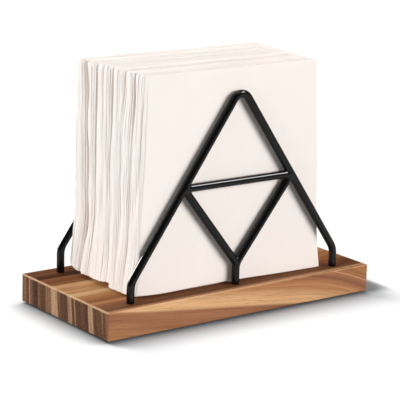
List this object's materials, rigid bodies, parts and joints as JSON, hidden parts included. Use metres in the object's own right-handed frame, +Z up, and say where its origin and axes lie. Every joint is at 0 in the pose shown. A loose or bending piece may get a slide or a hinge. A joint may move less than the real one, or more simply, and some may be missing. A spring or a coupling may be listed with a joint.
{
  "type": "napkin holder",
  "caption": "Upright napkin holder: a wooden board with two triangular bent-wire frames that keep a stack of folded paper napkins standing in the slot between them.",
  "frame": {"origin": "middle of the board's footprint, on the surface that the pads stand on", "axes": "+X along the board's length to the right, +Y from the front wire frame to the rear one, +Z up"},
  "size_m": [0.25, 0.12, 0.1915],
  "materials": {
    "wood_red": "satin",
    "wood_dark": "satin",
    "wood_gold": "satin",
    "wood_mid": "satin",
    "black_powder_coat": "satin",
    "zinc_steel": "satin",
    "pad_rubber": "matte",
    "napkin_paper": "matte"
  },
  "bodies": {
    "holder": {"board_strip_1": "wood_red", "board_strip_2": "wood_dark", "board_strip_3": "wood_red", "board_strip_4": "wood_gold", "board_strip_5": "wood_mid", "board_strip_6": "wood_mid", "board_strip_7": "wood_gold", "front_arch": "black_powder_coat", "front_crossbar": "black_powder_coat", "front_long_brace": "black_powder_coat", "front_short_brace": "black_powder_coat", "rear_arch": "black_powder_coat", "rear_crossbar": "black_powder_coat", "rear_long_brace": "black_powder_coat", "rear_short_brace": "black_powder_coat", "frame_screws": "zinc_steel", "pad_front_left": "pad_rubber", "pad_front_right": "pad_rubber", "pad_rear_left": "pad_rubber", "pad_rear_right": "pad_rubber"},
    "napkin_stack": {"napkin_01": "napkin_paper", "napkin_02": "napkin_paper", "napkin_03": "napkin_paper", "napkin_04": "napkin_paper", "napkin_05": "napkin_paper", "napkin_06": "napkin_paper", "napkin_07": "napkin_paper", "napkin_08": "napkin_paper", "napkin_09": "napkin_paper", "napkin_10": "napkin_paper", "napkin_11": "napkin_paper", "napkin_12": "napkin_paper", "napkin_13": "napkin_paper", "napkin_14": "napkin_paper", "napkin_15": "napkin_paper", "napkin_16": "napkin_paper", "napkin_17": "napkin_paper", "napkin_18": "napkin_paper", "napkin_19": "napkin_paper", "napkin_20": "napkin_paper", "napkin_21": "napkin_paper", "napkin_22": "napkin_paper", "napkin_23": "napkin_paper", "napkin_24": "napkin_paper", "napkin_25": "napkin_paper", "napkin_26": "napkin_paper", "napkin_27": "napkin_paper", "napkin_28": "napkin_paper"}
  },
  "joints": [
    {"name": "stack_lift", "type": "slide", "parent": "holder", "child": "napkin_stack", "axis": [0, 0, 1], "range_m": [0, 0.16]}
  ]
}
